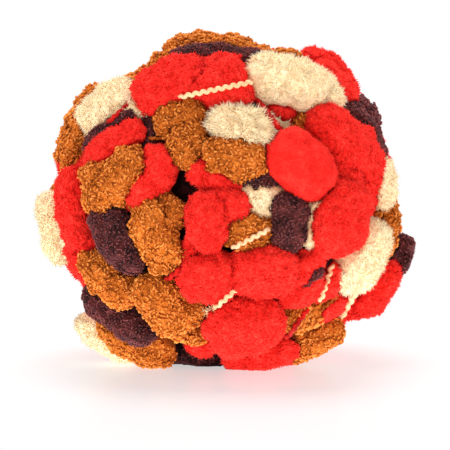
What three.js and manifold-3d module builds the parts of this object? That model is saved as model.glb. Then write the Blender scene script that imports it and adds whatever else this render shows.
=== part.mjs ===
// A ball of pompom yarn, as it is sold: one long strand of plump pompoms joined by a thin cord, wound
// round and round itself into a ball that stands on a small flat spot. Millimetres, +Z up, the ball's
// best face towards -Y, and the origin on the surface that it stands on, under the middle of its box.
//
// The ball is one solid. Its inner winding is a plain ellipsoid, and every pompom of the outer layer is
// a soft-cornered ellipsoid that sinks into that winding and into its neighbours. The near side is a
// table of pompoms, and the far side is a table of wraps, each an arc of evenly spaced pompoms. The
// smallest pompoms, down in the gaps between others, belong to the strand's fine turns and aren't here.
import * as THREE from "three";
import { mergeVertices } from "three/addons/utils/BufferGeometryUtils.js";
import Module from "manifold-3d";

const wasm = await Module();
wasm.setup();

// The outer sizes of the winding, over the pompoms of its outer layer.
const BALL_WIDE = 172;
const BALL_DEEP = 166;
const BALL_HIGH = 158;
// The middle of the winding. It lies lower than half of the height because the ball sags onto its foot,
// and a little off the origin because the outermost pompoms aren't quite alike all round.
const MIDDLE = new THREE.Vector3(-0.9, -1.1, 75.5);
// The near side's table lies in a plane that is tipped back by this many degrees.
const TIP_BACK = 8;

// A pompom's thickness beside its width, and how square its ends are: 2 is an ellipsoid.
const PLUMPNESS = 0.86;
const SQUARENESS = 2.35;
// The middles of the near side's pompoms lie this far inside the winding's outer sizes, and those of the
// far side further in, because the last wraps cross the near side alone.
const NEAR_INSET = new THREE.Vector3(9, 9, 9);
const FAR_INSET = new THREE.Vector3(15, 10, 15);
// The inner winding's surface lies this far inside the outer sizes.
const CORE_INSET = new THREE.Vector3(12, 12, 12);
const CORE_DETAIL = 2;
// How a pompom is faceted: the sides around it, and the climb of each ring of corners in degrees, from
// its foot inside the ball to its crown.
const FACETS = {
  near: { sides: 8, rings: [-8, 46] },
  far: { sides: 6, rings: [-5, 48] },
};
// A near pompom shorter than this is faceted as a far one.
const SMALL = 24.5;

// The near side, one row for each pompom. across and up are the place of its middle in the tipped plane,
// from the middle of the ball; lie is the lean of its long side, anticlockwise from level, in degrees;
// rise is how far it stands out of the layer, square to the tipped plane.
const NEAR_SIDE = [
  // across, up, lie, long, wide, rise
  // The crown: caramel behind, with dark and red wraps before it.
  [-23, 61, 43, 24, 17, -8],
  [-15, 68, 25, 25, 17, -7],
  [0, 66, -9, 35, 19, -5],
  [25, 61, 0, 22, 14, -8],
  [-10, 62, -3, 30, 15, 0],
  [11, 60, -12, 24, 15, 0],
  [-1, 57, 0, 20, 15, 0],
  // Below the crown: two red pompoms, two cream ones and the red turn behind them.
  [-24, 50.5, 33, 38, 26, 3],
  [0, 48.5, 0, 31, 25, 0],
  [26.5, 50.5, -3, 34, 24, 4],
  [41.5, 45.5, -55, 27, 18, 1],
  [42, 58.5, -20, 28, 19, -4],
  [47.5, 49, -62, 28, 21, -5],
  // The upper left: cream over caramel, dark and red.
  [-53, 40, 33, 31, 20, 0],
  [-41, 37, 22, 17, 10, -3],
  [-61, 39, 55, 24, 16, -6],
  [-64.5, 26, 97, 30, 18, -2],
  [-53, 29, 18, 26, 14, -2],
  [-47, 24, 27, 34, 17, 0],
  [-33, 29, 80, 18, 11, -6],
  // The left: caramel across red.
  [-46, 10, 38, 33, 21, 3],
  [-53, 2, 100, 20, 15, 1],
  [-32.5, 9.5, 52, 34, 19, -2],
  [-61, 12, 60, 18, 12, -5],
  // Above the middle: caramel round a shaggy cream pompom.
  [-19, 35, 15, 26, 17, -3],
  [-17, 23.5, 80, 23, 18, -3],
  [8, 31, -12, 29, 17, -1],
  [5, 16.5, -8, 31, 20, -2],
  // The upper right: the big round red one and the red run behind it.
  [34, 13, -30, 37, 29, 4],
  [48, 27.5, -42, 34, 23, 2],
  [60, 20, -65, 29, 17, 0],
  [64, 8, 75, 18, 12, -4],
  [52, 10, -30, 24, 18, -5],
  // The right edge: dark, cream and caramel, the lone dark pompom, and the wraps inside them.
  [61.5, 29, -55, 31, 16, -5],
  [69, 4, -75, 24, 14, -3],
  [72, -15, -80, 25, 13, -4],
  [79, -27, -78, 22, 16, -10],
  [50.5, -9.5, 68, 36, 28, 5],
  [61.5, -25, 66, 36, 20, 0],
  [68.5, -40, 72, 30, 18, -4],
  [60.5, -44.5, 20, 22, 16, -6],
  // The middle: small pompoms in the hollows between the wraps.
  [28, -10.5, 85, 28, 20, -1],
  [17, 0, -35, 20, 15, -4],
  [-8, 10, -30, 23, 17, -5],
  [-9, -10.5, 80, 28, 22, 0],
  [4, -3, -30, 20, 16, -2],
  [12, -14, -10, 25, 17, -4],
  [-25.5, -3, -25, 21, 14, -6],
  // The left edge: caramel, dark and red, with cream furthest out.
  [-31, -16.5, -62, 34, 22, 0],
  [-47, -17.5, -55, 34, 20, 1],
  [-61, -20, -70, 22, 13, -4],
  [-67.5, -5, 95, 37, 18, 2],
  [-76.5, -16, -75, 34, 17, -8],
  [-62.5, -30, -72, 24, 12, -4],
  // The lower left: caramel and dark wraps by turns, down to the foot.
  [-49, -35, -28, 35, 20, 1],
  [-28.5, -46.5, 95, 34, 22, 0],
  [-46, -51.5, -28, 39, 19, 2],
  [-37, -67, -8, 37, 18, 2],
  [-52, -62, -50, 29, 16, -6],
  // The foot: the big red pompom stands nearest, and small ones lie in the gap on its left.
  [-13, -51, 10, 18, 14, -4],
  [-15, -62, 80, 15, 13, -5],
  [-9, -67, 0, 17, 12, -6],
  [8, -57.5, 20, 36, 31, 4],
  [17, -69.5, 12, 33, 17, 3],
  // The lower right: a red run, then caramel under it.
  [-9, -35, 5, 27, 22, 0],
  [17, -31.5, -5, 30, 23, 1],
  [36, -30.5, 50, 20, 15, -1],
  [34, -41, 25, 23, 15, -2],
  [46.5, -38, 70, 22, 12, -4],
  [38, -61.5, 60, 26, 22, -2],
  [29, -53, 78, 18, 11, -4],
  [47, -49, 50, 16, 10, -4],
  // A red pompom below the cream ones.
  [27, 37.5, 0, 20, 12, -6],
];

// The far side, the crown and the foot, one row for each wrap. A wrap runs from one heading and climb to
// another and bows upwards by bow between them, with its pompoms at even steps. heading is turned from
// the near face towards +X, and climb is above level, both in degrees. The two near edges come first,
// then the wraps over the back from the crown down, the one that crosses them, the crown and the foot.
const FAR_SIDE = [
  // heading from, to, climb from, to, bow, pompoms, long, wide, rise
  [72, 74, 6, -42, 0, 3, 34, 25, -4],
  [90, 93, 44, -18, 0, 3, 38, 28, -6],
  [289, 286, 20, -38, 0, 3, 34, 25, -4],
  [271, 268, 42, -20, 0, 3, 36, 28, -6],
  [113, 246, 66, 32, 4, 5, 36, 28, -1],
  [115, 246, 46, 15, 4, 6, 36, 28, 0],
  [116, 247, 26, -6, 4, 6, 37, 28, 0],
  [117, 250, 5, -26, 3, 6, 37, 28, 0],
  [113, 250, -15, -46, 4, 6, 36, 28, 1],
  [110, 252, -35, -62, 3, 5, 36, 27, 4],
  [108, 166, -54, -64, 0, 2, 34, 26, 5],
  [238, 262, 56, 40, 0, 2, 33, 25, -5],
  [152, 212, 44, -50, 0, 4, 35, 26, 3],
  [110, 220, 78, 74, 0, 2, 34, 27, -4],
  [282, 262, -58, -60, 0, 2, 34, 26, 5],
  [100, 262, -74, -76, 0, 3, 33, 27, 7],
  [24, 58, -58, -52, 0, 2, 32, 24, 3],
  [-60, -36, -52, -60, 0, 2, 30, 22, 3],
  [0, 58, -84, -70, 0, 2, 32, 26, 5],
];

const RED_PILE = "#f8302a";

const radians = THREE.MathUtils.degToRad;

// The half sizes of the ellipsoid that lies an inset inside the ball's outer sizes.
function halfSizes(inset) {
  return new THREE.Vector3(BALL_WIDE / 2, BALL_DEEP / 2, BALL_HIGH / 2).sub(inset);
}

// A closed mesh as a manifold-3d solid.
function solidOf(geometry) {
  geometry.deleteAttribute("normal");
  geometry.deleteAttribute("uv");
  const merged = mergeVertices(geometry, 1e-4);
  const mesh = new wasm.Mesh({
    numProp: 3,
    vertProperties: new Float32Array(merged.getAttribute("position").array),
    triVerts: new Uint32Array(merged.index.array),
  });
  return new wasm.Manifold(mesh);
}

// A pompom's outline: a ball of facets pushed out to squarer ends, then drawn to the pompom's sizes. Its
// long side runs along X and its crown is at +Z.
function pompomGeometry(long, wide, { sides, rings }) {
  const foot = new THREE.Vector2(0, -1);
  const crown = new THREE.Vector2(0, 1);
  const corners = rings.map(
    (climb) => new THREE.Vector2(Math.cos(radians(climb)), Math.sin(radians(climb))),
  );
  const geometry = new THREE.LatheGeometry([foot, ...corners, crown], sides);
  geometry.rotateX(Math.PI / 2).rotateZ(Math.PI / 2);
  const points = geometry.getAttribute("position");
  const half = new THREE.Vector3(long / 2, wide / 2, (wide * PLUMPNESS) / 2);
  for (let i = 0; i < points.count; i++) {
    const point = new THREE.Vector3().fromBufferAttribute(points, i).normalize();
    const reach = point.toArray().reduce((sum, part) => sum + Math.abs(part) ** SQUARENESS, 0);
    point.multiplyScalar(reach ** (-1 / SQUARENESS)).multiply(half);
    points.setXYZ(i, point.x, point.y, point.z);
  }
  return geometry;
}

// The outward direction of the winding at a place, which is measured from the winding's middle.
function outward(place) {
  const half = halfSizes(NEAR_INSET);
  return new THREE.Vector3(place.x / half.x ** 2, place.y / half.y ** 2, place.z / half.z ** 2).normalize();
}

// A pompom at a place, its crown outwards and its long side as near to a direction as that allows.
function pompomSolid(place, along, long, wide, facets) {
  const out = outward(place);
  const run = along.clone().addScaledVector(out, -along.dot(out)).normalize();
  const side = new THREE.Vector3().crossVectors(out, run);
  const matrix = new THREE.Matrix4().makeBasis(run, side, out).setPosition(place);
  return solidOf(pompomGeometry(long, wide, facets).applyMatrix4(matrix));
}

// The near side's pompoms, set back from the tipped plane onto the layer.
function nearPompoms() {
  const tip = radians(TIP_BACK);
  const right = new THREE.Vector3(1, 0, 0);
  const rising = new THREE.Vector3(0, Math.sin(tip), Math.cos(tip));
  const facing = new THREE.Vector3(0, -Math.cos(tip), Math.sin(tip));
  const half = halfSizes(NEAR_INSET);
  return NEAR_SIDE.map(([across, up, lie, long, wide, rise]) => {
    const left = 1 - (across / half.x) ** 2 - (up / half.z) ** 2;
    const depth = half.y * Math.sqrt(Math.max(left, 0)) + rise;
    const place = new THREE.Vector3()
      .addScaledVector(right, across)
      .addScaledVector(rising, up)
      .addScaledVector(facing, depth);
    const along = new THREE.Vector3()
      .addScaledVector(right, Math.cos(radians(lie)))
      .addScaledVector(rising, Math.sin(radians(lie)));
    return pompomSolid(place, along, long, wide, long < SMALL ? FACETS.far : FACETS.near);
  });
}

// A place that stands out by rise from the far side's layer, at a heading and climb in degrees.
function onFarSide(heading, climb, rise) {
  const turn = radians(heading);
  const lift = radians(climb);
  const direction = new THREE.Vector3(
    Math.sin(turn) * Math.cos(lift),
    -Math.cos(turn) * Math.cos(lift),
    Math.sin(lift),
  );
  return direction.clone().multiply(halfSizes(FAR_INSET)).addScaledVector(direction, rise);
}

// The far side's pompoms, wrap by wrap.
function farPompoms() {
  return FAR_SIDE.flatMap(([from, to, climbFrom, climbTo, bow, count, long, wide, rise]) => {
    const at = (share) =>
      onFarSide(
        THREE.MathUtils.lerp(from, to, share),
        THREE.MathUtils.lerp(climbFrom, climbTo, share) + bow * Math.sin(Math.PI * share),
        rise,
      );
    return Array.from({ length: count }, (_, i) => {
      const share = i / (count - 1);
      const along = at(share + 0.01).sub(at(share - 0.01));
      return pompomSolid(at(share), along, long, wide, FACETS.far);
    });
  });
}

// The inner winding.
function coreSolid() {
  const half = halfSizes(CORE_INSET);
  return solidOf(new THREE.IcosahedronGeometry(1, CORE_DETAIL).scale(half.x, half.y, half.z));
}

// Everything below the surface that the ball stands on, which presses the ball's foot flat.
function floorSolid() {
  const block = new THREE.BoxGeometry(2 * BALL_WIDE, 2 * BALL_WIDE, BALL_HIGH);
  return solidOf(block.translate(0, 0, -MIDDLE.z - BALL_HIGH / 2));
}

// The solid with its pockets filled: neighbours close off small spaces between them, and each is a shell
// of its own whose faces point inwards.
function withoutPockets(solid) {
  const shells = solid.decompose();
  return wasm.Manifold.union(shells.filter((shell) => shell.volume() > 0));
}

// The whole ball, with its foot pressed flat.
function ballGeometry() {
  const joined = wasm.Manifold.union([coreSolid(), ...nearPompoms(), ...farPompoms()]);
  const mesh = withoutPockets(joined.subtract(floorSolid())).getMesh();
  return new THREE.BufferGeometry()
    .setAttribute("position", new THREE.BufferAttribute(mesh.vertProperties, 3))
    .setIndex(new THREE.BufferAttribute(mesh.triVerts, 1));
}

const pile = new THREE.MeshStandardMaterial({ color: RED_PILE, roughness: 0.95, metalness: 0 });
const yarnBall = new THREE.Mesh(ballGeometry(), pile);
yarnBall.name = "yarn_ball";
yarnBall.position.copy(MIDDLE);

const ball = new THREE.Group();
ball.add(yarnBall);

export default ball;
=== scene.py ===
"""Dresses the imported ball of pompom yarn.

The ball is one strand of plump pompoms on a thin cord, wound round itself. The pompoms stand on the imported
solid's layer, most of them close to their places there, with some small and deeper ones added in the gaps.
They get the pile that the solid leaves out: crumbs or curls with creases between them, and loose yarn ends.
The link cord lies where it shows between pompoms. Sizes are in millimetres from the middle of the winding
until a mesh is made, and meshes are in metres.
"""

import logging
import math
from dataclasses import dataclass, field
from enum import Enum
from functools import lru_cache
from typing import Iterable

import bmesh
import bpy
import numpy as np
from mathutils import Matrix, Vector, noise
from mathutils.bvhtree import BVHTree


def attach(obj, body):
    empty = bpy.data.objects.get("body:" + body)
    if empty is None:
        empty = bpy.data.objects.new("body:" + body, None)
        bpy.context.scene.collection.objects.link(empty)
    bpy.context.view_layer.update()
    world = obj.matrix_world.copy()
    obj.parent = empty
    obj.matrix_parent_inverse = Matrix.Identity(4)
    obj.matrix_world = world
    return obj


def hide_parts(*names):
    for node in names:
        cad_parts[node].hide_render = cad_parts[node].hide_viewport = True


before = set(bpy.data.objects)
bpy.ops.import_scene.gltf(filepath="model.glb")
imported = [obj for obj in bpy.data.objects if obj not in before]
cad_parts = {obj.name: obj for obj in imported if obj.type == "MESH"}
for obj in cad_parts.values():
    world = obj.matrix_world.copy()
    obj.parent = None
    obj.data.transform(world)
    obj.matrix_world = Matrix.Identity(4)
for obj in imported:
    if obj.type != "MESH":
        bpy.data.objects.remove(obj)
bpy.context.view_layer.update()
log = logging.getLogger("pompom_yarn")

Array = np.ndarray
Span = tuple[float, float]
Triple = tuple[float, float, float]
MM = 0.001
TINY = 1e-9  # keeps a length that divides from being 0
ICOSAHEDRON_EDGE = 1.107  # the angle from one of its corners to the next, in radians
NODE = "yarn_ball"


# ---- the yarn


class Dye(Enum):
    """The colours that follow one another along the strand."""

    RED = "red"
    CARAMEL = "caramel"
    BROWN = "brown"
    CREAM = "cream"

    @property
    def slot(self) -> str:
        """The record's material slot for it."""
        return f"{self.value}_pile"


@dataclass(frozen=True)
class Curls:
    """Short curls of yarn that lie on a pompom."""

    long: float
    thick: float
    apart: float  # from one to the next
    stand: float  # of its middle, above the surface under it
    bend: float  # sideways, as a share of its length
    tumble: float  # the difference in height from one to the next
    rings: int = 4
    sides: int = 3
    lengths: Span = (0.6, 1.3)  # the shortest and the longest, as shares of long
    drops: Span = (0.1, 0.7)  # of both ends together, as shares of long
    taper: float = 0.4  # how much thinner the ends are
    shade: float = 0.9  # the height it shows at the middle level, which sets its painted shade
    lift: float = 0.4  # and how much lighter the highest is painted than the lowest
    tries: float = 4.0  # places tried in each curl's own room
    seed: int = 5000


@dataclass(frozen=True)
class Ends:
    """Loose yarn ends that stand out of a pompom."""

    long: float
    thick: float
    per_mm2: float
    lean: float  # how far they lean from upright, 0 to 1
    comb: float = 2.0  # how much a combed pile turns them from the crown
    lengths: Span = (0.5, 1.3)  # the shortest and the longest, as shares of long
    root: float = 0.3  # how deep they are rooted
    foot: float = 0.6  # the height they show there, so the root is painted in shade
    turns: tuple[float, ...] = (0.0, 2.0944, 4.1888)  # where their three sides meet, in radians
    chart: tuple = ((0.9, 0.02), (0.98, 0.02), (0.94, 0.05), (0.94, 0.1))  # the corners' places on the map
    seed: int = 1000


@dataclass(frozen=True)
class Nap:
    """How the cut yarn of a pompom stands."""

    dye: Dye
    cell: float  # across one crumb of the surface
    relief: float  # from the top of a crumb to its creases
    crease: float  # width of the creases, as a share of a crumb
    pit: float  # distance between deeper pits
    comb: float  # how strongly streaks run out from the crown, 0 to 1
    lump: float  # how far the whole surface swells and sinks
    squareness: float  # 2 is an ellipsoid, more is fuller at the corners
    edge: float  # triangle side where the surface may be seen from the front
    low: float  # the height that the material reads in its creases, where 0 is the deepest painted shade
    high: float  # and on its crumbs, where 1 is a tip, painted lightest
    ends: Ends
    curls: Curls | None = None


class Pile(Enum):
    """The kinds of pompom on the strand, with the columns of Nap, Ends and Curls in their order."""

    # dye, cell, relief, crease, pit, comb, lump, squareness, edge, low, high, ends, curls
    RED = Nap(Dye.RED, 1.8, 1.6, 0.5, 3.2, 0.2, 1.0, 2.4, 0.6, 0.2, 1.0, Ends(1.3, 0.75, 1.1, 0.7))
    VELVET = Nap(Dye.RED, 1.5, 0.45, 0.4, 9.0, 0.5, 0.6, 2.4, 0.6, 0.46, 0.76, Ends(1.0, 0.45, 1.1, 0.5))
    CARAMEL = Nap(
        Dye.CARAMEL, 2.1, 0.9, 0.5, 3.6, 0.0, 1.2, 2.6, 1.0, 0.0, 0.72,
        Ends(1.3, 0.5, 0.3, 0.9), Curls(2.4, 1.35, 1.35, 0.4, 0.45, 1.0),
    )
    BROWN = Nap(
        Dye.BROWN, 1.9, 1.0, 0.5, 3.4, 0.3, 1.0, 2.5, 1.0, -0.05, 0.6,
        Ends(1.2, 0.4, 0.5, 0.9), Curls(1.7, 0.9, 1.15, 0.25, 0.35, 0.7),
    )
    CREAM = Nap(Dye.CREAM, 1.6, 1.1, 0.4, 5.0, 0.35, 0.9, 2.8, 0.72, 0.36, 1.0, Ends(2.0, 0.46, 1.7, 0.75))
    SHAGGY = Nap(Dye.CREAM, 1.8, 1.2, 0.5, 3.6, 0.6, 1.0, 2.6, 0.8, 0.5, 1.0, Ends(3.2, 0.62, 1.5, 1.1))
    # The inner winding reads only the lowest heights, so it is painted in the creases' deep shade, near
    # black.
    INNER = Nap(Dye.BROWN, 3.0, 0.5, 0.4, 9.0, 0.0, 1.0, 2.0, 2.5, 0.0, 0.1, Ends(2.0, 0.5, 0.02, 0.9))


RED, VELVET, CARAMEL, BROWN, CREAM, SHAGGY, INNER = Pile

# The near side, one row for each pompom. across and up are the place of its middle in the tipped plane,
# from the middle of the winding; lie is the lean of its long side, anticlockwise from level, in degrees;
# rise is how far it stands out of the layer, square to the tipped plane.
NEAR_SIDE = (
    # across, up, lie, long, wide, rise, pile
    # The crown, from behind.
    (-21.6, 59.8, 43, 24, 16, -8, CARAMEL),
    (-14, 66.5, 25, 25, 17, -7, CARAMEL),
    (-1.8, 64.5, -16, 31.5, 18, -5, CARAMEL),
    (27, 60.8, 0, 15, 13.5, -8, CARAMEL),
    (-10, 62, -3, 30, 15, 0, BROWN),
    (11, 60, -12, 24, 15, 0, BROWN),
    (-0.5, 57.5, 0, 20, 15, 0, RED),
    # Below the crown.
    (-23.3, 49.4, 33, 37.5, 25, 3, RED),
    (-2, 48.5, 0, 30.5, 26, 1, RED),
    (27.2, 50.5, -3, 37, 24, 5.5, CREAM),
    (39.4, 48.8, -61, 31, 17.5, 1, CREAM),
    (44.7, 56.5, -25, 28, 19, -4, RED),
    (46.7, 49, -62, 28, 21, -7, RED),
    # The upper left.
    (-51.5, 39.6, 19, 31, 20.5, 0, CREAM),
    (-40.8, 37, 20, 15, 8, 0, SHAGGY),
    (-61, 39, 55, 24, 16, -6, CARAMEL),
    (-63.8, 29.5, 97, 33, 18, -2, CARAMEL),
    (-51.5, 29, 7, 30, 10.5, 1, BROWN),
    (-48.2, 22.6, 17, 34, 16.5, 0, RED),
    (-33, 29, 80, 18, 11, -6, BROWN),
    # The left.
    (-46.3, 7.8, 42, 34, 19, 3, CARAMEL),
    (-54.5, 4, 92, 24, 19, 2, CARAMEL),
    (-32.5, 8.5, 52, 34, 19, -2, RED),
    (-61, 12, 60, 18, 12, -5, RED),
    # Above the middle.
    (-19, 35, 15, 26, 17, -3, CARAMEL),
    (-17, 23.5, 80, 23, 18, -3, CARAMEL),
    (8, 31, -12, 29, 17, 2.5, SHAGGY),
    (25.5, 31, -60, 11, 7, -5, SHAGGY),
    (33, 33, 80, 13, 10, -5, CARAMEL),
    (27, 37.5, 0, 20, 12, -6, RED),
    (5, 16.5, -8, 31, 20, -2, CARAMEL),
    (17.5, 8, 5, 22, 12, -4, BROWN),
    # The upper right.
    (33.5, 14.2, -44, 34.5, 25.8, 4, VELVET),
    (50, 26, -42, 34, 23, 2, RED),
    (61, 20, -65, 29, 17, 0, RED),
    (64, 8, 75, 18, 12, -4, RED),
    (52, 10, -30, 24, 18, -5, RED),
    # The right edge and the wraps inside it.
    (61.5, 29, -55, 31, 16, -5, BROWN),
    (68.6, 6.2, -75, 22, 16, -3, CREAM),
    (71.8, -16.4, -84, 28, 13, -2, CARAMEL),
    (77.5, -26.6, -78, 23, 15.5, -10, BROWN),
    (50.7, -9.3, 69, 35, 27, 5, RED),
    (39.6, -12.2, 85, 21, 10, 1, CREAM),
    (60.5, -25.8, 81, 34.5, 22.5, 0, CREAM),
    (68.3, -40.7, 69, 30, 18.5, -4, RED),
    (60.5, -44.5, 20, 22, 16, -6, RED),
    # The middle, with small ones in the hollows.
    (28, -10.5, 88, 27, 19, -1, BROWN),
    (16, -1, -35, 24, 18, -7.5, CREAM),
    (-4.2, 8.3, -33, 26, 15.5, -5, RED),
    (-7.6, -11.4, 93, 28, 19.5, 0, RED),
    (2, -3.2, -30, 19.5, 14.5, -2, RED),
    (10, -15, -10, 29, 17.5, -4, CARAMEL),
    (-26.5, -5.3, -25, 21, 14, -6, CARAMEL),
    # The left edge.
    (-30.6, -17, -66, 34, 18.5, 0, CARAMEL),
    (-47.5, -18, -57, 34, 20.5, 1, BROWN),
    (-61, -20, -70, 22, 13, -4, RED),
    (-67.5, -5, 95, 37, 18, 2, RED),
    (-76.3, -13.2, -80, 32, 16.5, -8, CREAM),
    (-64, -28.5, -65, 22, 12, -5, RED),
    # The lower left, down to the foot.
    (-51.8, -36, -25, 33.5, 18.5, 1, CARAMEL),
    (-27.9, -47.3, 97, 34, 21, 0, CARAMEL),
    (-47.6, -52.6, -23, 39, 19, 3, BROWN),
    (-39.2, -63.6, -10, 38, 22, 4, CARAMEL),
    (-52.5, -63, -48, 31, 17, -6, CREAM),
    # The foot, with small ones in the gap.
    (-13, -51, 10, 18, 14, -4, CARAMEL),
    (-12.8, -62, 80, 10.5, 9.5, -3, CARAMEL),
    (-11.5, -67, -5, 14, 10, -5, RED),
    (8, -56.6, 23, 36.5, 30, 4, RED),
    (16, -70.2, 13, 35.5, 17.5, 7.5, RED),
    # The lower right.
    (-6.7, -35.3, 10, 28.5, 23.5, 0, RED),
    (17, -32.3, -5, 31, 25, 1.2, RED),
    (36, -30.5, 50, 20, 15, -1, RED),
    (34, -41, 25, 23, 15, -2, RED),
    (38.6, -36.1, 50, 11, 3.2, 6, BROWN),
    (46.5, -38, 70, 22, 12, -4, RED),
    (40, -62.5, 55, 26, 20, 0, CARAMEL),
    (29, -53, 78, 18, 11, -4, CARAMEL),
    (47, -49, 50, 16, 10, -4, RED),
    # Deep between their neighbours.
    (-17, -25, 60, 18, 11, -5, RED),
    (-5.8, -50.5, 60, 9, 4.5, 2, CREAM),
)

# The far side, the crown and the foot, one row for each wrap, with the pile of each of its pompoms. A wrap
# runs from one heading and climb to another and bows upwards by bow between them. heading is turned from
# the near face towards +X, and climb is above level, both in degrees.
FAR_SIDE = (
    # heading from, to, climb from, to, bow, long, wide, rise, piles
    # The right and left edges.
    (72, 74, 6, -42, 0, 34, 25, -4, (CARAMEL, RED, RED)),
    (90, 93, 44, -18, 0, 38, 28, -7.5, (BROWN, RED, CARAMEL)),
    (289, 286, 20, -38, 0, 34, 25, -4, (CARAMEL, CREAM, RED)),
    (271, 268, 42, -20, 0, 36, 28, -9.5, (CARAMEL, RED, BROWN)),
    # The wraps over the back, from the crown down.
    (113, 246, 61, 32, 4, 36, 28, -5.5, (RED, RED, CARAMEL, BROWN, CREAM)),
    (115, 243, 46, 15, 4, 36, 28, 0, (RED, CARAMEL, RED, RED, CARAMEL, RED)),
    (120, 247, 26, -6, 4, 37, 28, 0, (BROWN, CREAM, RED, CARAMEL, RED, CARAMEL)),
    (123, 246, 5, -26, 3, 37, 28, 0, (RED, RED, CARAMEL, RED, CREAM, RED)),
    (116, 250, -15, -46, 4, 36, 28, 1, (BROWN, RED, CREAM, CARAMEL, RED, CARAMEL)),
    (110, 252, -35, -62, 3, 36, 27, 4, (CARAMEL, RED, RED, BROWN, RED)),
    (108, 166, -54, -64, 0, 34, 26, 2, (RED, CARAMEL)),
    (238, 262, 56, 40, 0, 33, 25, -8.5, (CARAMEL, RED)),
    # The wrap that crosses them, and the crown.
    (152, 212, 44, -50, 0, 35, 26, 3, (RED, RED, CARAMEL, BROWN)),
    (110, 220, 78, 74, 0, 34, 27, -6, (CARAMEL, CARAMEL)),
    # The foot.
    (282, 262, -58, -60, 0, 34, 26, 4, (CARAMEL, RED)),
    (100, 242, -74, -74, 0, 33, 27, 7, (RED, CARAMEL, BROWN)),
    (24, 50, -58, -50, 0, 32, 24, -4, (RED, CARAMEL)),
    (-60, -36, -52, -60, 0, 30, 22, -6, (CARAMEL, CARAMEL)),
    # This wrap's brown pompom sits in the shadowed gap under the ball; its dark dye paints the gap as shade.
    (100, 250, -84, -84, 0, 32, 26, 4, (RED, BROWN)),
    # Deeper wraps, which fill the hollows before the crown and down the right side.
    (-88, 75, 56, 60, 11, 30, 22, -6.5, (CARAMEL, CARAMEL, BROWN, BROWN, BROWN, CARAMEL)),
    (50, 106, -6, 4, 10, 30, 22, -5, (RED, RED, BROWN, RED, BROWN)),
)

# The link cord where it shows, by dye, in the tipped plane like the near side's pompoms. lift is its height
# over the pompoms, wave how far it swings to each side and pitch the length of a wave.
LINK_CORDS = {
    # across, up from, across, up to, lift, wave, pitch, thick
    Dye.RED: (
        (-52, 33, -41.5, 43, 1.5, 0.3, 3.0, 2.0),
        (14.2, 43, 24.6, 29.5, 2.6, 0.3, 3.2, 3.0),
        (-26.2, -37, -19.5, -32, 1.2, 0.5, 3.0, 2.1),
        (27.6, -63.2, 36.8, -49.8, 2.4, 0.35, 3.2, 2.3),
    ),
    Dye.CARAMEL: (
        (-34, 26, -26, 26, 0.6, 0.2, 2.4, 1.6),
        (40, -53, 51, -43.5, 1.2, 0.45, 2.6, 1.4),
    ),
    Dye.CREAM: (
        (-20.5, 44.2, 12, 51, 0.6, 0.5, 3.4, 1.9),
        (3.2, -22.9, 19.7, -14.3, 1.3, 0.5, 3.3, 1.9),
        (-4.5, -49.5, 5, -41, 1.0, 0.5, 3.3, 1.9),
        (42.5, -46.5, 47.8, -30, 1.3, 0.55, 3.5, 1.9),
        (52, -54.5, 58.2, -42.5, 1.3, 0.5, 3.3, 2.7),
    ),
}


# ---- shapes


def between(low: float, high: float, share: float | Array) -> float | Array:
    """What lies a share of the way from low to high."""
    return low + (high - low) * share


@lru_cache(maxsize=None)
def geodesic(steps: int) -> tuple[Array, Array]:
    """Makes a ball of radius 1 from nearly even triangles.

    Args:
        steps: Triangles along each side of the twenty faces that it starts from.

    Returns:
        The points and the triangles.
    """
    shape = bmesh.new()
    bmesh.ops.create_icosphere(shape, subdivisions=1, radius=1.0)
    bmesh.ops.subdivide_edges(shape, edges=shape.edges[:], cuts=steps - 1, use_grid_fill=True)
    bmesh.ops.triangulate(shape, faces=shape.faces[:])
    points = np.array([vertex.co for vertex in shape.verts])
    triangles = np.array([[vertex.index for vertex in face.verts] for face in shape.faces])
    shape.free()
    return points / np.linalg.norm(points, axis=1, keepdims=True), triangles


@dataclass(frozen=True)
class Pompom:
    """One pompom: a soft-cornered ellipsoid, in millimetres from the middle of the winding."""

    place: Array
    axes: Array  # along it, across it and outwards, a row each
    half: Array
    pile: Pile
    number: int
    far: bool  # on the far side, where triangles and curls are larger and loose ends fewer

    @property
    def squareness(self) -> float:
        """The power of its ellipsoid."""
        return self.pile.value.squareness

    def inside(self, points: Array) -> Array:
        """How far points lie below the pompom's surface, in millimetres; below 0 is outside."""
        local = (points - self.place) @ self.axes.T
        full = (np.abs(local / self.half) ** self.squareness).sum(1) ** (1 / self.squareness)
        return np.linalg.norm(local, axis=1) * (1 / np.maximum(full, TINY) - 1)

    def surface(self, directions: Array) -> tuple[Array, Array]:
        """Points of the surface and the outward normals there.

        Args:
            directions: Unit vectors in the pompom's own axes.

        Returns:
            The points and the normals, in the winding's axes.
        """
        power = self.squareness
        reach = (np.abs(directions) ** power).sum(1, keepdims=True) ** (-1 / power)
        local = directions * reach * self.half
        normal = np.sign(local) * (np.abs(local / self.half) ** (power - 1)) / self.half
        normal /= np.linalg.norm(normal, axis=1, keepdims=True)
        return self.place + local @ self.axes, normal @ self.axes


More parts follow.
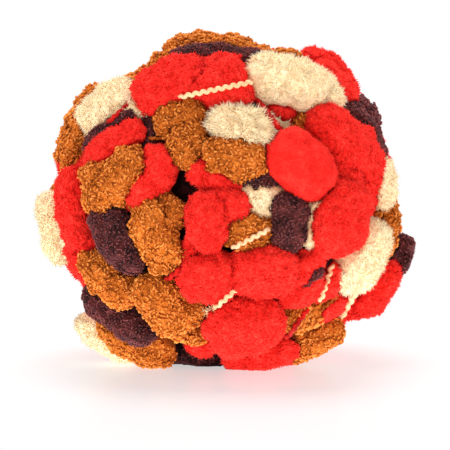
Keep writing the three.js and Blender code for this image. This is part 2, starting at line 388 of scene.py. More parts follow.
@dataclass(frozen=True)
class Winding:
    """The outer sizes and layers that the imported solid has, and the pompoms that stand on them."""

    size: Triple = (172.0, 166.0, 158.0)
    middle: Triple = (-0.9, -1.1, 75.5)
    tip_back: float = 8.0  # how far the near side's plane leans back, in degrees
    plumpness: float = 0.86  # a pompom's depth, as a share of its width
    near_inset: Triple = (9.0, 9.0, 9.0)
    far_inset: Triple = (15.0, 10.0, 15.0)
    core_inset: float = 22.0  # of the inner winding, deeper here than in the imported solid
    nudge: float = 0.01  # the share of a wrap to each side that shows which way it runs

    def half(self, inset: Iterable[float]) -> Array:
        """The half sizes of the ellipsoid that lies an inset inside the outer sizes."""
        return np.array(self.size) / 2 - np.array(inset)

    def pompom(self, place: Array, along: Array, long: float, wide: float, pile: Pile, number: int) -> Pompom:
        """Sets a pompom at a place, its crown outwards and its long side as near to along as that allows."""
        out = place / self.half(self.near_inset) ** 2
        out /= np.linalg.norm(out)
        run = along - out * along.dot(out)
        run /= np.linalg.norm(run)
        half = np.array([long, wide, wide * self.plumpness]) / 2
        axes = np.array([run, np.cross(out, run), out])
        return Pompom(place, axes, half, pile, number, number >= len(NEAR_SIDE))

    def plane(self) -> Array:
        """The tipped plane's right, rising and facing directions, a row each."""
        tip = math.radians(self.tip_back)
        rising = (0.0, math.sin(tip), math.cos(tip))
        facing = (0.0, -math.cos(tip), math.sin(tip))
        return np.array([(1.0, 0.0, 0.0), rising, facing])

    def near_pompoms(self) -> list[Pompom]:
        """The near side's pompoms, set back from the tipped plane onto the layer."""
        half = self.half(self.near_inset)
        pompoms = []
        for number, (across, up, lie, long, wide, rise, pile) in enumerate(NEAR_SIDE):
            left = 1 - (across / half[0]) ** 2 - (up / half[2]) ** 2
            depth = half[1] * math.sqrt(max(left, 0.0)) + rise
            place = np.array([across, up, depth]) @ self.plane()
            turn = math.radians(lie)
            along = np.array([math.cos(turn), math.sin(turn), 0.0]) @ self.plane()
            pompoms.append(self.pompom(place, along, long, wide, pile, number))
        return pompoms

    def on_far_side(self, heading: float, climb: float, rise: float) -> Array:
        """A place that stands out by rise from the far side's layer."""
        turn, lift = math.radians(heading), math.radians(climb)
        level = math.cos(lift)
        direction = np.array([math.sin(turn) * level, -math.cos(turn) * level, math.sin(lift)])
        return direction * self.half(self.far_inset) + direction * rise

    def far_pompoms(self) -> list[Pompom]:
        """The far side's pompoms, wrap by wrap."""
        pompoms = []
        for start, end, climb, climb_end, bow, long, wide, rise, piles in FAR_SIDE:

            def at(share: float) -> Array:
                """The wrap's place at a share of its way."""
                height = between(climb, climb_end, share) + bow * math.sin(math.pi * share)
                return self.on_far_side(between(start, end, share), height, rise)

            for step, pile in enumerate(piles):
                share = step / (len(piles) - 1)
                along = at(share + self.nudge) - at(share - self.nudge)
                number = len(NEAR_SIDE) + len(pompoms)
                pompoms.append(self.pompom(at(share), along, long, wide, pile, number))
        return pompoms

    def to_frame(self, points: Array) -> Array:
        """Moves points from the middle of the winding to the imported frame, in metres."""
        return (points + np.array(self.middle)) * MM

    @property
    def floor(self) -> float:
        """The height of the surface that the ball stands on, from the middle of the winding."""
        return -self.middle[2]


# ---- pile


@dataclass
class Skin:
    """A surface with what its material reads: the pile's height from 0 to 1, which sets its painted shade,
    and a place on its map.
    """

    points: Array
    triangles: Array
    height: Array
    chart: Array

    @staticmethod
    def joined(skins: list["Skin"]) -> "Skin":
        """Joins skins into one."""
        starts = np.cumsum([0] + [len(skin.points) for skin in skins[:-1]])
        return Skin(
            np.vstack([skin.points for skin in skins]),
            np.vstack([skin.triangles + start for skin, start in zip(skins, starts)]),
            np.concatenate([skin.height for skin in skins]),
            np.vstack([skin.chart for skin in skins]),
        )


@dataclass
class Coat(Skin):
    """The surface of one pompom."""

    normals: Array
    shown: Array  # points that may be seen and stand clear of the floor
    free: Array  # 1 in the open, 0 against a neighbour, where most shade is painted

    def scatter(self, per_mm2: float, rng: np.random.Generator) -> tuple[Array, Array, Array]:
        """Picks places on the part that may be seen.

        Args:
            per_mm2: How many places there are on a square millimetre.
            rng: The source of chance.

        Returns:
            The places, the normals there and how free they are.
        """
        seen = self.triangles[self.shown[self.triangles].all(axis=1)]
        corners = self.points[seen]
        cross = np.cross(corners[:, 1] - corners[:, 0], corners[:, 2] - corners[:, 0])
        area = np.linalg.norm(cross, axis=1) / 2
        count = rng.poisson(area.sum() * per_mm2)
        chosen = rng.choice(len(seen), size=count, p=area / area.sum())
        weights = rng.dirichlet((1.0, 1.0, 1.0), count)[:, :, None]
        normals = (self.normals[seen[chosen]] * weights).sum(1)
        free = (self.free[seen[chosen]] * weights[:, :, 0]).sum(1)
        return (corners[chosen] * weights).sum(1), unit(normals), free


def unit(vectors: Array) -> Array:
    """Vectors of length 1."""
    return vectors / np.maximum(np.linalg.norm(vectors, axis=1, keepdims=True), TINY)


def spaced(points: Array, apart: float) -> Array:
    """Chooses points that are no nearer to one another than apart, first come first served."""
    taken: dict[tuple[int, int, int], list[int]] = {}
    chosen = []
    cells = np.floor(points / apart).astype(int).tolist()
    places = points.tolist()
    for index, (x, y, z) in enumerate(cells):
        around = (
            near
            for a in (x - 1, x, x + 1)
            for b in (y - 1, y, y + 1)
            for c in (z - 1, z, z + 1)
            for near in taken.get((a, b, c), ())
        )
        if all(math.dist(places[index], places[near]) >= apart for near in around):
            taken.setdefault((x, y, z), []).append(index)
            chosen.append(index)
    return np.array(chosen, dtype=int)


@dataclass(frozen=True)
class Strands:
    """Makes many short round strands at once, each from rings of points round its own path."""

    corner: float = 0.02  # of the place that they share, in a corner of the map
    patch: float = 0.1
    slant: float = 0.08  # the shift on the map from one end to the other
    ends_shaded: bool = True  # whether the ends, which lie deeper, are painted in shade
    tip: float = 0.08  # the share of a strand at each end that gets no darker
    least: float = 0.25  # the height shown in the darkest painted shade
    underside_shade: float = 0.6  # what the underside keeps of the top's height, so it is painted in shade

    def skin(self, paths: Array, up: Array, radius: Array, sides: int) -> Skin:
        """Makes the strands.

        Args:
            paths: The points of each path, strand by strand.
            up: The direction that each strand is upright in.
            radius: The radius at each point of a path.
            sides: The number of points in a ring.

        Returns:
            Closed strands, whose height runs from about 0.4 at ends painted in shade to 1 on the top, which
            is painted lit.
        """
        count, rings = paths.shape[:2]
        way = np.gradient(paths, axis=1)
        flat_way = way.reshape(-1, 3)
        flat_up = np.repeat(up, rings, axis=0)
        aside = unit(np.cross(flat_way, flat_up))
        over = unit(np.cross(aside, flat_way))
        turns = 2 * math.pi * np.arange(sides) / sides
        ring = np.cos(turns)[:, None] * over[:, None] + np.sin(turns)[:, None] * aside[:, None]
        points = paths.reshape(-1, 1, 3) + ring * np.tile(radius, count)[:, None, None]
        starts = np.arange(rings - 1)[:, None] * sides
        here = np.arange(sides)
        after = (here + 1) % sides
        first = np.stack([starts + here, starts + after, starts + sides + after], -1).reshape(-1, 3)
        second = np.stack([starts + here, starts + sides + after, starts + sides + here], -1).reshape(-1, 3)
        fan = np.array([(0, k + 1, k) for k in range(1, sides - 1)])
        far_fan = fan[:, ::-1] + (rings - 1) * sides
        one = np.vstack([first, second, fan, far_fan])
        triangles = (np.arange(count)[:, None, None] * rings * sides + one).reshape(-1, 3)
        along = np.repeat(np.linspace(0, 1, rings), sides)
        # Painted light and shade: the top of each ring reads higher than its underside, and fading ends read
        # lower.
        high = np.tile(0.5 + 0.5 * np.cos(turns), rings)
        arch = np.sin(math.pi * np.clip(along, self.tip, 1 - self.tip)) if self.ends_shaded else 1.0
        height = between(self.least, 1, arch * between(self.underside_shade, 1, high))
        chart = self.corner + self.patch * np.column_stack([along, high + self.slant * along])
        return Skin(points.reshape(-1, 3), triangles, np.tile(height, count), np.tile(chart, (count, 1)))


@dataclass(frozen=True)
class Crumbs:
    """The crumbs that cut yarn gathers into, with creases round them and pits here and there."""

    warp_shifts: tuple[Vector, ...] = (Vector((9.3, 0, 0)), Vector((0, 17.1, 0)), Vector((0, 0, 31.7)))
    warp_pace: float = 0.9  # how fast the warp changes, from crumb to crumb
    crumb_warp: float = 0.7  # how far it shifts the crumbs, as a share of one
    pit_warp: float = 0.3  # and the pits, as a share of their distance
    pit_floor: float = 0.08  # half the width of a pit's floor, as such a share
    pit_wall: float = 0.16  # and the width of its wall
    pit_height: float = 0.5  # what is left of the height in a pit
    crease_height: float = 0.4  # and in a crease
    dome: float = 0.25  # how far a crumb falls from its middle to its edge

    def heights(self, points: Array, nap: Nap) -> Array:
        """The height of the crumbs at points, from about 0.2 in the pits and creases to 1 on their tops; it
        moves the surface and paints shade into the pits and creases.
        """
        height = np.empty(len(points))
        for index, place in enumerate(points.tolist()):
            spot = Vector(place) / nap.cell
            warp = Vector([noise.noise(spot * self.warp_pace + shift) for shift in self.warp_shifts])
            nearest, second = noise.voronoi(spot + warp * self.crumb_warp)[0][:2]
            crease = math.sqrt(min(1.0, (second - nearest) / nap.crease))
            pit = noise.voronoi(Vector(place) / nap.pit + warp * self.pit_warp)[0][0]
            depth = min(1.0, max(0.0, (pit - self.pit_floor) / self.pit_wall))
            sunk = between(self.pit_height, 1, depth) * between(self.crease_height, 1, crease)
            height[index] = sunk * (1 - self.dome * nearest**2)
        return height


@dataclass(frozen=True)
class PileMaker:
    """Makes the pile of pompoms."""

    floor: float  # the height of the surface that the ball stands on
    neighbours: list[Pompom]  # all the pompoms and the inner winding
    far_edge: float = 1.6  # how much larger triangles are on the far side
    far_grow: float = 1.45  # and curls
    far_ends: float = 0.4  # the share of the loose ends that is made there
    buried: float = 1.9  # a point further inside a neighbour than this is never seen
    underside: float = -0.3  # nor is one whose direction leans further inwards than this
    hidden_cell: float = 3.5  # what is never seen is left as coarse as this
    clear: float = 0.8  # no curl or loose end starts nearer to the floor than this
    apart: float = 100.0  # a pompom without neighbours counts as this far from them
    contact_shade_reach: float = 1.4  # the distance from a neighbour within which shade is painted into the pile
    contact_shade: float = 0.5  # what the pile keeps of its height in the painted shade against a neighbour
    contact_shade_end: float = 0.4  # and a loose end there
    kin_shade_slack: float = 0.4  # a neighbour of the same pile paints shade into it only from this far inside,
    kin_shade: float = 0.6  # and by this share
    web: float = 3.6  # the distance at which neighbours of the same pile begin to merge
    long_lump: float = 10.0  # across the swellings of the whole surface
    long_swell: float = 1.7
    short_lump: float = 4.0
    short_swell: float = 1.5
    lump_shifts: tuple[float, ...] = (7.3, 3.1, 5.7)  # from one pompom's swellings to the next one's
    streak: float = 1.0  # across one ridge at the rim
    streak_crown: float = 0.08  # no streak starts nearer to the crown than this, as a share of the rim
    streak_pace: float = 1.5  # how often it changes on its way out
    streak_shift: float = 3.7
    level: float = 0.75  # the height of a crumb that lies on the smooth surface
    chart_reach: float = 0.49  # of a pompom, in its square of the map
    crumbs: Crumbs = field(default_factory=Crumbs)
    strands: Strands = field(default_factory=Strands)

    def lumps(self, points: Array, nap: Nap, seed: int) -> Array:
        """How far the surface swells at points."""
        shift = Vector([seed * step for step in self.lump_shifts])
        swell = [
            self.long_swell * noise.noise(Vector(point) / self.long_lump + shift)
            + self.short_swell * noise.noise(Vector(point) / self.short_lump + shift)
            for point in points.tolist()
        ]
        return nap.lump * np.array(swell)

    def streaks(self, directions: Array, half: Array, seed: int) -> Array:
        """Fine ridges that run out from a pompom's crown to its rim, from 0 to 1."""
        flat = directions[:, :2] / np.maximum(np.hypot(*directions[:, :2].T), self.streak_crown)[:, None]
        around = flat * half[:2].mean() / self.streak
        heights = [
            0.5 + noise.noise(Vector((x, y, z * self.streak_pace + seed * self.streak_shift)))
            for (x, y), z in zip(around.tolist(), directions[:, 2].tolist())
        ]
        return np.clip(heights, 0, 1)

    def merged(self, coat: Coat, hidden: Array, local: Array) -> Coat:
        """Draws the points that are never seen together into a few.

        Args:
            coat: The pompom's whole surface.
            hidden: Which of its points are never seen.
            local: The points in the pompom's own axes.

        Returns:
            The coat with each cell of hidden points made one, and what that flattens left out.
        """
        cells = np.floor(local / self.hidden_cell).astype(int)
        cells[~hidden] = 0
        cells = np.column_stack([cells, np.where(hidden, -1, np.arange(len(hidden)))])
        _, first, group = np.unique(cells, axis=0, return_index=True, return_inverse=True)
        group = group.ravel()
        count = np.bincount(group)

        def mean(values: Array) -> Array:
            """The mean of each group's values."""
            return np.column_stack([np.bincount(group, column) / count for column in values.T])

        triangles = group[coat.triangles]
        triangles = triangles[(triangles != np.roll(triangles, 1, axis=1)).all(axis=1)]
        # Of triangles that now share all three corners, the first stays.
        _, single = np.unique(np.sort(triangles, axis=1), axis=0, return_index=True)
        return Coat(
            mean(coat.points),
            triangles[np.sort(single)],
            coat.height[first],
            mean(coat.chart),
            coat.normals[first],
            coat.shown[first],
            coat.free[first],
        )

    def coat(self, pompom: Pompom) -> Coat:
        """Makes one pompom's surface with its bumps, and its hidden parts merged."""
        nap = pompom.pile.value
        edge = nap.edge * (self.far_edge if pompom.far else 1.0)
        directions, triangles = geodesic(max(4, round(ICOSAHEDRON_EDGE * pompom.half.mean() / edge)))
        points, normals = pompom.surface(directions)
        points = points + normals * self.lumps(points, nap, pompom.number)[:, None]
        strange = np.full(len(points), -self.apart)
        kin = strange.copy()
        for other in self.neighbours:
            gap = np.linalg.norm(other.place - pompom.place) - other.half.max() - pompom.half.max()
            if other is not pompom and gap < 0:
                near = kin if other.pile is pompom.pile else strange
                np.maximum(near, other.inside(points), out=near)
        hidden = np.maximum(strange, kin) > self.buried
        # Two surfaces that merge smoothly rise by a quarter of the web where they meet.
        risen = np.clip(1 - np.abs(kin) / self.web, 0, 1) ** 2 * self.web / 4
        points = points + normals * risen[:, None]
        if pompom.pile is not INNER:
            hidden |= directions[:, 2] < self.underside
        height = np.full(len(points), self.crumbs.crease_height)
        height[~hidden] = self.crumbs.heights(points[~hidden], nap)
        if nap.comb:
            ridges = self.streaks(directions[~hidden], pompom.half, pompom.number)
            height[~hidden] *= 1 - nap.comb * (1 - ridges)
        points[~hidden] += normals[~hidden] * ((height[~hidden] - self.level) * nap.relief)[:, None]
        if nap.curls:
            points[~hidden] -= normals[~hidden] * nap.curls.stand
        # Painted shade: the pile reads lower, so darker, where it lies against a neighbour; one of the same
        # pile darkens it less.
        free = np.clip(np.minimum(-strange, self.kin_shade_slack - kin * self.kin_shade) / self.contact_shade_reach, 0, 1)
        height = between(nap.low, nap.high, height) * between(self.contact_shade, 1, free)
        shown = ~hidden & (points[:, 2] > self.floor + self.clear)
        points[:, 2] = np.maximum(points[:, 2], self.floor)
        # The map shows the pompom from its crown, with equal areas equal.
        flat = np.hypot(directions[:, 0], directions[:, 1]) + TINY
        radius = np.sqrt((1 - directions[:, 2]) / 2)
        chart = 0.5 + self.chart_reach * directions[:, :2] * (radius / flat)[:, None]
        whole = Coat(points, triangles, height, chart, normals, shown, free)
        return self.merged(whole, hidden, directions * pompom.half)

    def curls(self, pompom: Pompom, coat: Coat) -> Skin:
        """Lays the curls on a pompom's surface."""
        shape = pompom.pile.value.curls
        rng = np.random.default_rng(shape.seed + pompom.number)
        grow = self.far_grow if pompom.far else 1.0
        root, out, free = coat.scatter(shape.tries / (shape.apart * grow) ** 2, rng)
        chosen = spaced(root, shape.apart * grow)
        root, out, free = root[chosen], out[chosen], free[chosen]
        count = len(root)
        along = unit(np.cross(out, rng.normal(size=(count, 3))))
        aside = np.cross(out, along)
        share = np.linspace(-1, 1, shape.rings)[None, :, None]
        length = shape.long * grow * rng.uniform(*shape.lengths, (count, 1, 1))
        bend = shape.bend * rng.uniform(-1, 1, (count, 1, 1))
        toss = rng.uniform(-0.5, 0.5, (count, 1, 1))
        drop = rng.uniform(*shape.drops, (count, 1, 1)) * shape.long / 2
        paths = (
            root[:, None]
            + along[:, None] * length / 2 * share
            + aside[:, None] * length * bend * (1 - share**2)
            + out[:, None] * (shape.stand + shape.tumble * toss - drop * share**2)
        )
        radius = shape.thick * grow / 2 * (1 - shape.taper * share.ravel() ** 2)
        made = self.strands.skin(paths, out, radius, shape.sides)
        made.points[:, 2] = np.maximum(made.points[:, 2], self.floor)
        # Painted light and shade: a curl that stands higher reads lighter, one against a neighbour darker.
        shade = (shape.shade + shape.lift * toss[:, 0, 0]) * between(self.contact_shade, 1, free)
        made.height *= np.repeat(shade, shape.rings * shape.sides)
        return made

    def ends(self, pompom: Pompom, coat: Coat) -> Skin:
        """Makes the loose yarn ends that stand out of a pompom's surface.

        Args:
            pompom: The pompom.
            coat: Its surface.

        Returns:
            A thin closed spike for each end.
        """
        shape = pompom.pile.value.ends
        rng = np.random.default_rng(shape.seed + pompom.number)
        root, out, free = coat.scatter(shape.per_mm2 * (self.far_ends if pompom.far else 1.0), rng)
        count = len(root)
        away = unit(root - pompom.place - out * ((root - pompom.place) * out).sum(1, keepdims=True))
        aside = unit(rng.normal(size=(count, 3)) + away * shape.comb * pompom.pile.value.comb)
        way = unit(out + shape.lean * aside)
        sideways = unit(np.cross(way, aside))
        third = np.cross(way, sideways)
        length = shape.long * rng.uniform(*shape.lengths, count)[:, None]
        foot = root - way * shape.root
        ring = [
            foot + (math.cos(turn) * sideways + math.sin(turn) * third) * shape.thick / 2
            for turn in shape.turns
        ]
        points = np.stack([*ring, root + way * length], axis=1).reshape(-1, 3)
        points[:, 2] = np.maximum(points[:, 2], self.floor)
        faces = np.array([(0, 1, 3), (1, 2, 3), (2, 0, 3), (0, 2, 1)])
        triangles = (np.arange(count)[:, None, None] * 4 + faces).reshape(-1, 3)
        # Painted shade: an end's root reads darker than its tip, and an end against a neighbour darker still.
        height = np.tile([*[shape.foot] * 3, 1.0], count)
        height *= np.repeat(between(self.contact_shade_end, 1, free), 4)
        return Skin(points, triangles, height, np.tile(shape.chart, (count, 1)))


# ---- meshes


def add_object(name: str, data: bpy.types.ID) -> bpy.types.Object:
    """Makes an object and links it to the scene."""
    thing = bpy.data.objects.new(name, data)
    bpy.context.scene.collection.objects.link(thing)
    return thing


@dataclass(frozen=True)
class Piece:
    """A mesh of the visual model."""

    name: str
    skin: Skin
    material: bpy.types.Material
    slot: str

    def build(self, winding: Winding) -> None:
        """Makes the object, dresses it, and hands it to the frame."""
        skin = self.skin
        mesh = bpy.data.meshes.new(self.name)
        mesh.vertices.add(len(skin.points))
        mesh.vertices.foreach_set("co", winding.to_frame(skin.points).ravel())
        mesh.loops.add(skin.triangles.size)
        mesh.loops.foreach_set("vertex_index", skin.triangles.ravel().astype(np.int32))
        mesh.polygons.add(len(skin.triangles))
        mesh.polygons.foreach_set("loop_start", np.arange(0, skin.triangles.size, 3, dtype=np.int32))
        mesh.polygons.foreach_set("use_smooth", np.ones(len(skin.triangles), dtype=bool))
        height = mesh.attributes.new("height", "FLOAT", "POINT")
        height.data.foreach_set("value", skin.height.astype(np.float32))
        chart = mesh.uv_layers.new(name="OFBake")
        chart.uv.foreach_set("vector", skin.chart[skin.triangles.ravel()].astype(np.float32).ravel())
        mesh.update(calc_edges=True)
        mesh.validate()
        mesh.materials.append(self.material)
        thing = add_object(self.name, mesh)
        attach(thing, "root")
        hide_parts(NODE)
        log.info("%s: %d triangles", self.name, len(mesh.polygons))


# ---- finishes


def linear(colour: str) -> tuple[float, float, float, float]:
    """Turns an sRGB hex colour into linear values with an alpha of 1."""
    parts = [int(colour[k : k + 2], 16) / 255 for k in (1, 3, 5)]
    values = [part / 12.92 if part <= 0.04045 else ((part + 0.055) / 1.055) ** 2.4 for part in parts]
    return (*values, 1.0)


def add_node(
    tree: bpy.types.NodeTree, kind: str, settings: dict | None = None, inputs: dict | None = None
) -> bpy.types.Node:
    """Adds a node.

    Args:
        tree: Where it goes.
        kind: Its type, without the leading "ShaderNode".
        settings: Values of its own properties.
        inputs: A value or another node's output for each socket, by name or number.

    Returns:
        The node.
    """
    node = tree.nodes.new("ShaderNode" + kind)
    for name, value in (settings or {}).items():
        setattr(node, name, value)
    for name, value in (inputs or {}).items():
        if isinstance(value, bpy.types.NodeSocket):
            tree.links.new(value, node.inputs[name])
        else:
            node.inputs[name].default_value = value
    return node


def empty_tree(owner: bpy.types.Material | bpy.types.World) -> bpy.types.NodeTree:
    """Gives a material or a world a node tree with nothing in it."""
    owner.use_nodes = True
    owner.node_tree.nodes.clear()
    return owner.node_tree


@dataclass(frozen=True)
class PileFinish:
    """Polyester yarn cut into pile: dull on its tips, with shade painted into its colour below them."""

    name: str
    crease_shade: str  # the colours from the shade painted into the creases to the tips, which are painted lighter
    body: str
    tip: str
    sheen: float
    sheen_tint: str
    mottle: float  # how much the height varies from patch to patch
    patch: float = 6.0  # across a patch that is lighter or darker
    grain: float = 0.55  # across one bundle of fibres, as coarse as it needs to show
    fleck: float = 0.18  # how much the height varies from bundle to bundle
    grain_relief: float = 0.25
    grain_strength: float = 0.7
    noise_ends: Span = (0.3, 0.7)  # nearly all of a noise lies between them
    crease_shade_at: float = 0.1  # the heights at which the creases' painted shade and the body colour are reached
    body_at: float = 0.6

    def material(self) -> bpy.types.Material:
        """Makes the material."""
        made = bpy.data.materials.new(self.name)
        tree = empty_tree(made)
        place = add_node(tree, "TexCoord").outputs["Object"]
        height = add_node(tree, "Attribute", {"attribute_name": "height"}).outputs["Fac"]
        low, high = self.noise_ends
        noises = []
        for size, detail, swing in ((self.grain, 2.0, self.fleck), (self.patch, 1.0, self.mottle)):
            inputs = {"Vector": place, "Scale": 1 / (size * MM), "Detail": detail}
            noises.append(add_node(tree, "TexNoise", inputs=inputs).outputs["Fac"])
            ends = {0: noises[-1], 1: low, 2: high, 3: -swing, 4: swing}
            shift = add_node(tree, "MapRange", inputs=ends).outputs[0]
            height = add_node(tree, "Math", {"operation": "ADD"}, {0: height, 1: shift}).outputs[0]
        # The height picks the colour: painted shade in the creases, then the body, then painted light on the
        # tips.
        ramp = add_node(tree, "ValToRGB", inputs={"Fac": height})
        stops = ramp.color_ramp.elements
        stops[0].position, stops[0].color = self.crease_shade_at, linear(self.crease_shade)
        stops[1].color = linear(self.tip)
        stops.new(self.body_at).color = linear(self.body)
        relief = {"Height": noises[0], "Distance": self.grain_relief * MM, "Strength": self.grain_strength}
        bump = add_node(tree, "Bump", inputs=relief).outputs["Normal"]
        shader = add_node(
            tree,
            "BsdfPrincipled",
            inputs={
                "Base Color": ramp.outputs["Color"],
                "Roughness": 0.9,
                "Specular IOR Level": 0.15,
                "Sheen Weight": self.sheen,
                "Sheen Roughness": 0.5,
                "Sheen Tint": linear(self.sheen_tint),
                "Normal": bump,
            },
        )
        add_node(tree, "OutputMaterial", inputs={"Surface": shader.outputs[0]})
        return made


PILE_FINISHES = {
    # name, crease shade, body, tip, sheen, sheen tint, mottle
    # Brushed and trimmed short: dull tips painted bright over creases painted in a deep red shade.
    Dye.RED: PileFinish("red_brushed_polyester_pile", "#700402", "#ea2018", "#ff3e32", 0.05, "#ff6a5c", 0.12),
    # Curled by heat: the curls are painted orange where they would catch the light and in a brown shade where
    # they part.
    Dye.CARAMEL: PileFinish(
        "caramel_curled_polyester_pile", "#501202", "#cc6a1c", "#f09646", 0.1, "#ffb070", 0.14
    ),
    # Curled by heat and dyed dark, with a near black shade painted into its creases: loose fibre lies over it
    # like a pale bloom.
    Dye.BROWN: PileFinish(
        "brown_curled_polyester_pile", "#100202", "#582220", "#8c443e", 0.36, "#b88c98", 0.2
    ),
    # Fluffed out: light goes through it, so the shade painted into its creases is warm and never dark.
    Dye.CREAM: PileFinish(
        "cream_fluffed_polyester_pile", "#e8a474", "#fadcac", "#fff0cc", 0.05, "#fff4e0", 0.1
    ),
}


# ---- the ball


@dataclass(frozen=True)
class LinkCord:
    """The thin wavy cord between pompoms, which lies over their pile."""

    shade: float = 0.34  # how pale it is beside the tips of the pile
    step: float = 0.35
    sides: int = 8
    settle: float = 2.4  # how far its ends go down into the pile
    settle_over: float = 2.5
    taper: float = 0.5  # what they keep of its thickness
    span: float = 4.0  # how far to each side a bump under it lifts it
    before: float = 200.0  # where the search for the pile under it starts
    chart_share: float = 0.9  # of its strip of the map

    def path(self, row: tuple[float, ...], plane: Array, cover: BVHTree) -> Array:
        """Lays one cord over the pompoms.

        Args:
            row: A row of LINK_CORDS without its thickness.
            plane: The tipped plane's directions.
            cover: The smooth pompoms of the near side.

        Returns:
            The points of the cord's middle line.
        """
        start, end, (lift, wave, pitch) = np.array(row[:2]), np.array(row[2:4]), row[4:]
        run = end - start
        length = math.hypot(*run)
        count = round(length / self.step)
        share = np.linspace(0, 1, count)
        flat = between(start, end, share[:, None])
        met = {}
        for part, spot in zip(share, flat):
            outside = spot @ plane[:2] + plane[2] * self.before
            hit = cover.ray_cast(Vector(outside), Vector(-plane[2]))[0]
            if hit:
                met[part] = np.array(hit).dot(plane[2])
        depth = np.interp(share, list(met), list(met.values()))
        reach = round(self.span / self.step)
        padded = np.pad(depth, reach, mode="edge")
        taut = np.array([padded[k : k + 2 * reach + 1].max() for k in range(count)])
        soft = np.convolve(np.pad(taut, reach, mode="edge"), np.ones(2 * reach + 1), "valid")
        taut = soft / (2 * reach + 1)
        from_end = np.minimum(share, 1 - share) * length
        sunk = self.settle * np.clip(1 - from_end / self.settle_over, 0, 1) ** 2
        swing = wave * np.sin(2 * math.pi * share * length / pitch)
        aside = np.array([-run[1], run[0]]) / length
        return np.column_stack([flat + swing[:, None] * aside, taut + lift - sunk]) @ plane

    def build(self, ball: "Ball") -> None:
        """Builds the cords of each dye as one piece."""
        plane = ball.winding.plane()
        cover = ball.cover()
        strands = Strands(corner=0.0, patch=1.0, ends_shaded=False)
        for dye, rows in LINK_CORDS.items():
            skins = []
            for number, (*row, thick) in enumerate(rows):
                points = self.path(row, plane, cover)
                radius = np.full(len(points), thick / 2)
                radius[[0, -1]] *= self.taper
                skin = strands.skin(points[None], plane[2:], radius, self.sides)
                skin.height *= self.shade
                skin.chart[:, 1] = (number + self.chart_share * skin.chart[:, 1]) / len(rows)
                skins.append(skin)
            name = f"{dye.value}_link_cord"
            Piece(name, Skin.joined(skins), ball.materials[dye], dye.slot).build(ball.winding)


@dataclass
class Ball:
    """The whole ball: pompoms, inner winding and link cords."""

    winding: Winding = field(default_factory=Winding)
    cover_steps: int = 12

    def __post_init__(self) -> None:
        """Places the pompoms and makes the finishes."""
        self.near = self.winding.near_pompoms()
        self.far = self.winding.far_pompoms()
        half = self.winding.half((self.winding.core_inset,) * 3)
        self.core = Pompom(np.zeros(3), np.eye(3), half, INNER, number=-1, far=True)
        self.maker = PileMaker(self.winding.floor, [*self.near, *self.far, self.core])
        self.materials = {dye: finish.material() for dye, finish in PILE_FINISHES.items()}

    def cover(self) -> BVHTree:
        """The near side's pompoms without their pile, to lay cords on."""
        directions, triangles = geodesic(self.cover_steps)
        shapes = [*self.near, self.core]
        points = np.vstack([shape.surface(directions)[0] for shape in shapes])
        starts = np.arange(len(shapes))[:, None, None] * len(directions)
        return BVHTree.FromPolygons(points.tolist(), (triangles + starts).reshape(-1, 3).tolist())

    def group(self, name: str, pompoms: list[Pompom]) -> None:
        """Builds one piece from pompoms of one dye."""
        dye = pompoms[0].pile.value.dye
        across = math.ceil(math.sqrt(len(pompoms)))
        skins = []
        for index, pompom in enumerate(pompoms):
            coat = self.maker.coat(pompom)
            parts = [coat, self.maker.ends(pompom, coat)]
            if pompom.pile.value.curls:
                parts.append(self.maker.curls(pompom, coat))
            whole = Skin.joined(parts)
            whole.chart = (whole.chart + np.array([index % across, index // across])) / across
            skins.append(whole)
        Piece(name, Skin.joined(skins), self.materials[dye], dye.slot).build(self.winding)

    def build(self) -> None:
        """Builds every piece of the ball."""
        for side, pompoms in (("front", self.near), ("back", self.far)):
            for dye in Dye:
                for level, above in (("upper", True), ("lower", False)):
                    chosen = [
                        pompom
                        for pompom in pompoms
                        if pompom.pile.value.dye is dye and (pompom.place[2] > 0) == above
                    ]
                    if chosen:
                        self.group(f"{dye.value}_pompoms_{side}_{level}", chosen)
        self.group("inner_winding", [self.core])
        LinkCord().build(self)


# ---- the studio


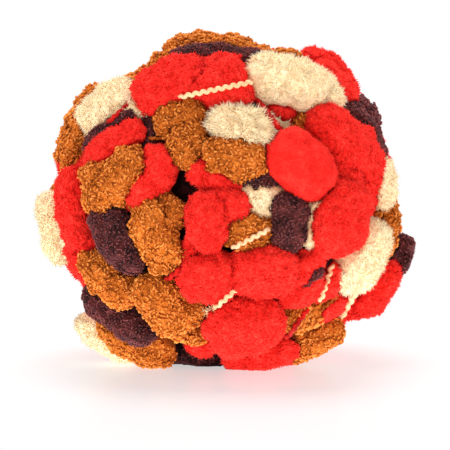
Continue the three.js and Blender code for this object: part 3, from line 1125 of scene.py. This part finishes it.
@dataclass(frozen=True)
class Studio:
    """A pale floor that runs out into white, soft lamps and the camera."""

    elevation: float = 8.0  # of the camera, in degrees
    distance: float = 5000.0
    view_width: float = 202.5  # at the ball
    aim_below: float = 12.6  # from the middle of the winding to what the camera faces
    sensor: float = 36.0
    clip: Span = (0.5, 50.0)  # in metres
    ambient: float = 0.66  # the surround's light on the ball, where 1 is white
    floor_glow: float = 2.4  # how brightly the floor's painted glow lights the ball from below
    glow_shadow_ends: Span = (12.0, 42.0)  # the glow's painted shadow: dark under the ball and bright beyond
    haze: float = 0.55  # how far the camera sees the floor as white even beside the ball
    shadow_ends: Span = (110.0, 260.0)
    floor_side: float = 40.0  # in metres
    lamp_aim: Triple = (0.0, 0.0, 0.07)  # in metres
    lamps: tuple = (
        # name, place and side in metres, power in watts
        ("key_softbox", (-0.4, -1.0, 1.2), 0.9, 1.8),
        ("fill_softbox", (0.8, -1.1, 0.6), 0.9, 1.3),
        ("low_softbox", (-0.6, -1.05, 0.12), 0.8, 2.0),
        ("top_softbox", (0.0, 0.3, 1.25), 0.8, 14.0),
    )

    def camera(self, winding: Winding) -> None:
        """Places the camera before the ball."""
        data = bpy.data.cameras.new("camera")
        data.sensor_width = self.sensor
        data.lens = self.sensor * self.distance / self.view_width
        data.clip_start, data.clip_end = self.clip
        tip = math.radians(self.elevation)
        aim = (Vector(winding.middle) - Vector((0, 0, self.aim_below))) * MM
        back = Vector((0, -math.cos(tip), math.sin(tip)))
        thing = add_object("camera", data)
        thing.location = aim + back * self.distance * MM
        thing.rotation_euler = (-back).to_track_quat("-Z", "Y").to_euler()
        bpy.context.scene.camera = thing

    def light(self) -> None:
        """Adds the soft square lamps, which face the ball."""
        for name, place, side, power in self.lamps:
            data = bpy.data.lights.new(name, "AREA")
            data.size, data.energy = side, power
            thing = add_object(name, data)
            thing.location = place
            way = Vector(self.lamp_aim) - Vector(place)
            thing.rotation_euler = way.to_track_quat("-Z", "Y").to_euler()

    def seen(self, tree: bpy.types.NodeTree) -> bpy.types.NodeSocket:
        """Adds the test for what is seen directly, or in gloss or glass."""
        rays = add_node(tree, "LightPath").outputs
        seen = rays["Is Camera Ray"]
        for ray in ("Is Glossy Ray", "Is Transmission Ray"):
            seen = add_node(tree, "Math", {"operation": "MAXIMUM"}, {0: seen, 1: rays[ray]}).outputs[0]
        return seen

    def world(self) -> None:
        """Makes the white that the camera and reflections see, with a dimmer light for the ball."""
        world = bpy.data.worlds.new("white_surround")
        tree = empty_tree(world)
        levels = {0: self.seen(tree), 3: self.ambient, 4: 1.0}
        strength = add_node(tree, "MapRange", inputs=levels).outputs[0]
        shine = add_node(tree, "Background", inputs={"Color": (1, 1, 1, 1), "Strength": strength})
        add_node(tree, "OutputWorld", inputs={"Surface": shine.outputs[0]})
        bpy.context.scene.world = world

    def floor(self) -> None:
        """Lays the pale floor, which runs out into white beyond the ball's shadow."""
        # Polished acrylic: an even white that reflects the ball faintly and softly. For the ball it is also a
        # painted glow from below, with a painted shadow under the ball.
        made = bpy.data.materials.new("white_acrylic_sheet")
        tree = empty_tree(made)
        gloss = {"Base Color": linear("#f4f0f0"), "Roughness": 0.3, "Specular IOR Level": 0.5}
        sheet = add_node(tree, "BsdfPrincipled", inputs=gloss).outputs[0]
        seen = self.seen(tree)
        # Painted glow: for lighting rays the floor shines at the glow's strength, while the camera sees plain
        # white.
        shine = add_node(tree, "MapRange", inputs={0: seen, 3: self.floor_glow, 4: 1.0}).outputs[0]
        white = add_node(tree, "Emission", inputs={"Color": (1, 1, 1, 1), "Strength": shine}).outputs[0]
        place = add_node(tree, "TexCoord").outputs["Object"]
        length = add_node(tree, "VectorMath", {"operation": "LENGTH"}, {0: place}).outputs["Value"]
        # The first range is the glow's painted shadow under the ball; the second fades the floor that the
        # camera sees into white.
        glows = []
        for (near, beyond), least in ((self.glow_shadow_ends, 0.0), (self.shadow_ends, self.haze)):
            ends = {0: length, 1: near * MM, 2: beyond * MM, 3: least}
            glows.append(add_node(tree, "MapRange", {"interpolation_type": "SMOOTHSTEP"}, ends).outputs[0])
        share = add_node(tree, "MapRange", inputs={0: seen, 3: glows[0], 4: glows[1]}).outputs[0]
        surface = add_node(tree, "MixShader", inputs={0: share, 1: sheet, 2: white}).outputs[0]
        add_node(tree, "OutputMaterial", inputs={"Surface": surface})
        bpy.ops.mesh.primitive_plane_add(size=self.floor_side, location=(0, 0, 0))
        thing = bpy.context.object
        thing.name = "floor"
        thing.data.materials.append(made)

    def build(self, winding: Winding) -> None:
        """Builds the studio."""
        bpy.context.scene.view_settings.view_transform = "Standard"
        self.camera(winding)
        self.world()
        self.floor()
        self.light()


def main() -> None:
    """Builds the studio and the ball."""
    logging.basicConfig(level=logging.INFO, format="%(message)s")
    ball = Ball()
    Studio().build(ball.winding)
    ball.build()


if __name__ == "__main__":
    main()
